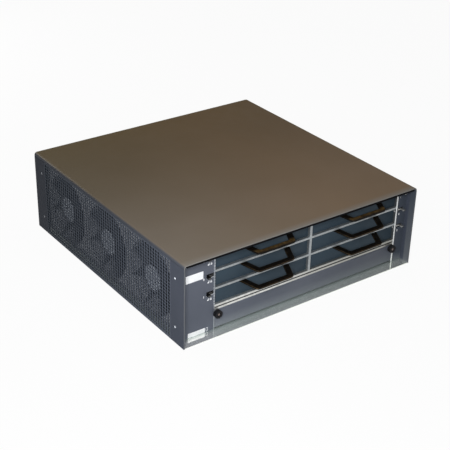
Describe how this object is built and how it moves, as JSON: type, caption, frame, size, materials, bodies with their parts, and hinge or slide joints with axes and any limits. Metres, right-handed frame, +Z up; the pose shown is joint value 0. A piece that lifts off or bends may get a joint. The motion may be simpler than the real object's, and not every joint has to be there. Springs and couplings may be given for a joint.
{
  "type": "router chassis",
  "caption": "Low rack router chassis: perforated sleeve, recessed front with blanked card slots, strap handles and locking levers, side fans and rear power and processor bays.",
  "frame": {"origin": "middle of the sleeve's footprint, on the underside of the floor", "axes": "+Z up, -Y towards the front with the card slots, +X to the right seen from the front"},
  "size_m": [0.427, 0.4547, 0.133],
  "materials": {
    "slate_paint": "semi-gloss slate paint",
    "cover_paint": "satin taupe paint",
    "blank_paint": "semi-gloss dark slate paint",
    "zinc_sheet": "zinc plated sheet",
    "black_handle": "black coated strap",
    "black_plastic": "moulded",
    "lever_steel": "plated steel",
    "label_paper": "blank white label",
    "white_ink": "screen print",
    "circuit_board": "board laminate",
    "case_steel": "galvanised"
  },
  "bodies": {
    "chassis": {"base_pan": "zinc_sheet", "left_side_panel": "slate_paint", "right_side_panel": "slate_paint", "top_cover": "cover_paint", "front_panel_left": "slate_paint", "front_panel_right": "slate_paint", "cage_wall_left": "zinc_sheet", "cage_wall_right": "zinc_sheet", "cage_roof": "zinc_sheet", "centre_divider": "zinc_sheet", "io_shelf": "zinc_sheet", "io_bay_ceiling": "zinc_sheet", "middle_shelf_left": "zinc_sheet", "middle_shelf_right": "zinc_sheet", "upper_shelf_left": "zinc_sheet", "upper_shelf_right": "zinc_sheet", "midplane_board": "circuit_board", "fan_tray": "zinc_sheet", "fan_frame_front": "case_steel", "fan_frame_middle": "case_steel", "fan_frame_rear": "case_steel", "rear_panel": "slate_paint", "power_shelf": "zinc_sheet", "power_divider": "zinc_sheet"},
    "lower_left_slot_blank": {"lower_blank_left": "blank_paint", "lower_handle_left": "black_handle"},
    "lower_left_slot_lever": {"lower_lever_left": "lever_steel"},
    "lower_right_slot_blank": {"lower_blank_right": "blank_paint", "lower_handle_right": "black_handle"},
    "lower_right_slot_lever": {"lower_lever_right": "lever_steel"},
    "middle_left_slot_blank": {"middle_blank_left": "blank_paint", "middle_handle_left": "black_handle"},
    "middle_left_slot_lever": {"middle_lever_left": "lever_steel"},
    "middle_right_slot_blank": {"middle_blank_right": "blank_paint", "middle_handle_right": "black_handle"},
    "middle_right_slot_lever": {"middle_lever_right": "lever_steel"},
    "upper_left_slot_blank": {"upper_blank_left": "blank_paint", "upper_handle_left": "black_handle"},
    "upper_left_slot_lever": {"upper_lever_left": "lever_steel"},
    "upper_right_slot_blank": {"upper_blank_right": "blank_paint", "upper_handle_right": "black_handle"},
    "upper_right_slot_lever": {"upper_lever_right": "lever_steel"},
    "io_panel": {"io_blank": "slate_paint"},
    "io_panel_screw_left": {"io_screw_left": "black_plastic"},
    "io_panel_screw_right": {"io_screw_right": "black_plastic"},
    "front_fan_rotor": {"fan_rotor_front": "black_plastic"},
    "middle_fan_rotor": {"fan_rotor_middle": "black_plastic"},
    "rear_fan_rotor": {"fan_rotor_rear": "black_plastic"},
    "processor_module": {"processor_tray": "slate_paint", "processor_handle": "black_handle"},
    "processor_module_screw_left": {"processor_screw_left": "black_plastic"},
    "processor_module_screw_right": {"processor_screw_right": "black_plastic"},
    "power_supply": {"power_supply_case": "case_steel", "power_supply_face": "slate_paint", "power_inlet": "black_plastic", "power_handle": "black_handle"},
    "power_supply_captive_screw": {"power_supply_screw": "black_plastic"},
    "power_switch": {"power_rocker": "black_plastic"},
    "power_bay_filler": {"power_filler": "slate_paint"},
    "power_filler_captive_screw": {"power_filler_screw": "black_plastic"}
  },
  "joints": [
    {"name": "lower_left_blank_pull", "type": "slide", "parent": "chassis", "child": "lower_left_slot_blank", "axis": [0, -1, 0], "range_m": [0, 0.06]},
    {"name": "lower_left_lever_lock", "type": "slide", "parent": "chassis", "child": "lower_left_slot_lever", "axis": [1, 0, 0], "range_m": [0, 0.006]},
    {"name": "lower_right_blank_pull", "type": "slide", "parent": "chassis", "child": "lower_right_slot_blank", "axis": [0, -1, 0], "range_m": [0, 0.06]},
    {"name": "lower_right_lever_lock", "type": "slide", "parent": "chassis", "child": "lower_right_slot_lever", "axis": [-1, 0, 0], "range_m": [0, 0.006]},
    {"name": "middle_left_blank_pull", "type": "slide", "parent": "chassis", "child": "middle_left_slot_blank", "axis": [0, -1, 0], "range_m": [0, 0.06]},
    {"name": "middle_left_lever_lock", "type": "slide", "parent": "chassis", "child": "middle_left_slot_lever", "axis": [1, 0, 0], "range_m": [0, 0.006]},
    {"name": "middle_right_blank_pull", "type": "slide", "parent": "chassis", "child": "middle_right_slot_blank", "axis": [0, -1, 0], "range_m": [0, 0.06]},
    {"name": "middle_right_lever_lock", "type": "slide", "parent": "chassis", "child": "middle_right_slot_lever", "axis": [-1, 0, 0], "range_m": [0, 0.006]},
    {"name": "upper_left_blank_pull", "type": "slide", "parent": "chassis", "child": "upper_left_slot_blank", "axis": [0, -1, 0], "range_m": [0, 0.06]},
    {"name": "upper_left_lever_lock", "type": "slide", "parent": "chassis", "child": "upper_left_slot_lever", "axis": [1, 0, 0], "range_m": [0, 0.006]},
    {"name": "upper_right_blank_pull", "type": "slide", "parent": "chassis", "child": "upper_right_slot_blank", "axis": [0, -1, 0], "range_m": [0, 0.06]},
    {"name": "upper_right_lever_lock", "type": "slide", "parent": "chassis", "child": "upper_right_slot_lever", "axis": [-1, 0, 0], "range_m": [0, 0.006]},
    {"name": "io_panel_pull", "type": "slide", "parent": "chassis", "child": "io_panel", "axis": [0, -1, 0], "range_m": [0, 0.04]},
    {"name": "io_panel_screw_left_turn", "type": "hinge", "parent": "io_panel", "child": "io_panel_screw_left", "pos_m": [-0.1462, -0.198, 0.027], "axis": [0, -1, 0], "continuous": true},
    {"name": "io_panel_screw_right_turn", "type": "hinge", "parent": "io_panel", "child": "io_panel_screw_right", "pos_m": [0.1878, -0.198, 0.027], "axis": [0, -1, 0], "continuous": true},
    {"name": "front_fan_spin", "type": "hinge", "parent": "chassis", "child": "front_fan_rotor", "pos_m": [-0.2075, -0.124, 0.0665], "axis": [1, 0, 0], "continuous": true},
    {"name": "middle_fan_spin", "type": "hinge", "parent": "chassis", "child": "middle_fan_rotor", "pos_m": [-0.2075, 0, 0.0665], "axis": [1, 0, 0], "continuous": true},
    {"name": "rear_fan_spin", "type": "hinge", "parent": "chassis", "child": "rear_fan_rotor", "pos_m": [-0.2075, 0.124, 0.0665], "axis": [1, 0, 0], "continuous": true},
    {"name": "processor_module_pull", "type": "slide", "parent": "chassis", "child": "processor_module", "axis": [0, 1, 0], "range_m": [0, 0.15]},
    {"name": "processor_module_screw_left_turn", "type": "hinge", "parent": "processor_module", "child": "processor_module_screw_left", "pos_m": [-0.1541, 0.2095, 0.0255], "axis": [0, 1, 0], "continuous": true},
    {"name": "processor_module_screw_right_turn", "type": "hinge", "parent": "processor_module", "child": "processor_module_screw_right", "pos_m": [0.1957, 0.2095, 0.0255], "axis": [0, 1, 0], "continuous": true},
    {"name": "power_supply_pull", "type": "slide", "parent": "chassis", "child": "power_supply", "axis": [0, 1, 0], "range_m": [0, 0.15]},
    {"name": "power_supply_screw_turn", "type": "hinge", "parent": "power_supply", "child": "power_supply_captive_screw", "pos_m": [-0.1541, 0.2095, 0.09125], "axis": [0, 1, 0], "continuous": true},
    {"name": "power_switch_rock", "type": "hinge", "parent": "power_supply", "child": "power_switch", "pos_m": [-0.05795, 0.208, 0.0744], "axis": [1, 0, 0], "range_deg": [-8, 8]},
    {"name": "power_bay_filler_pull", "type": "slide", "parent": "chassis", "child": "power_bay_filler", "axis": [0, 1, 0], "range_m": [0, 0.04]},
    {"name": "power_filler_screw_turn", "type": "hinge", "parent": "power_bay_filler", "child": "power_filler_captive_screw", "pos_m": [0.1957, 0.2095, 0.09125], "axis": [0, 1, 0], "continuous": true}
  ]
}
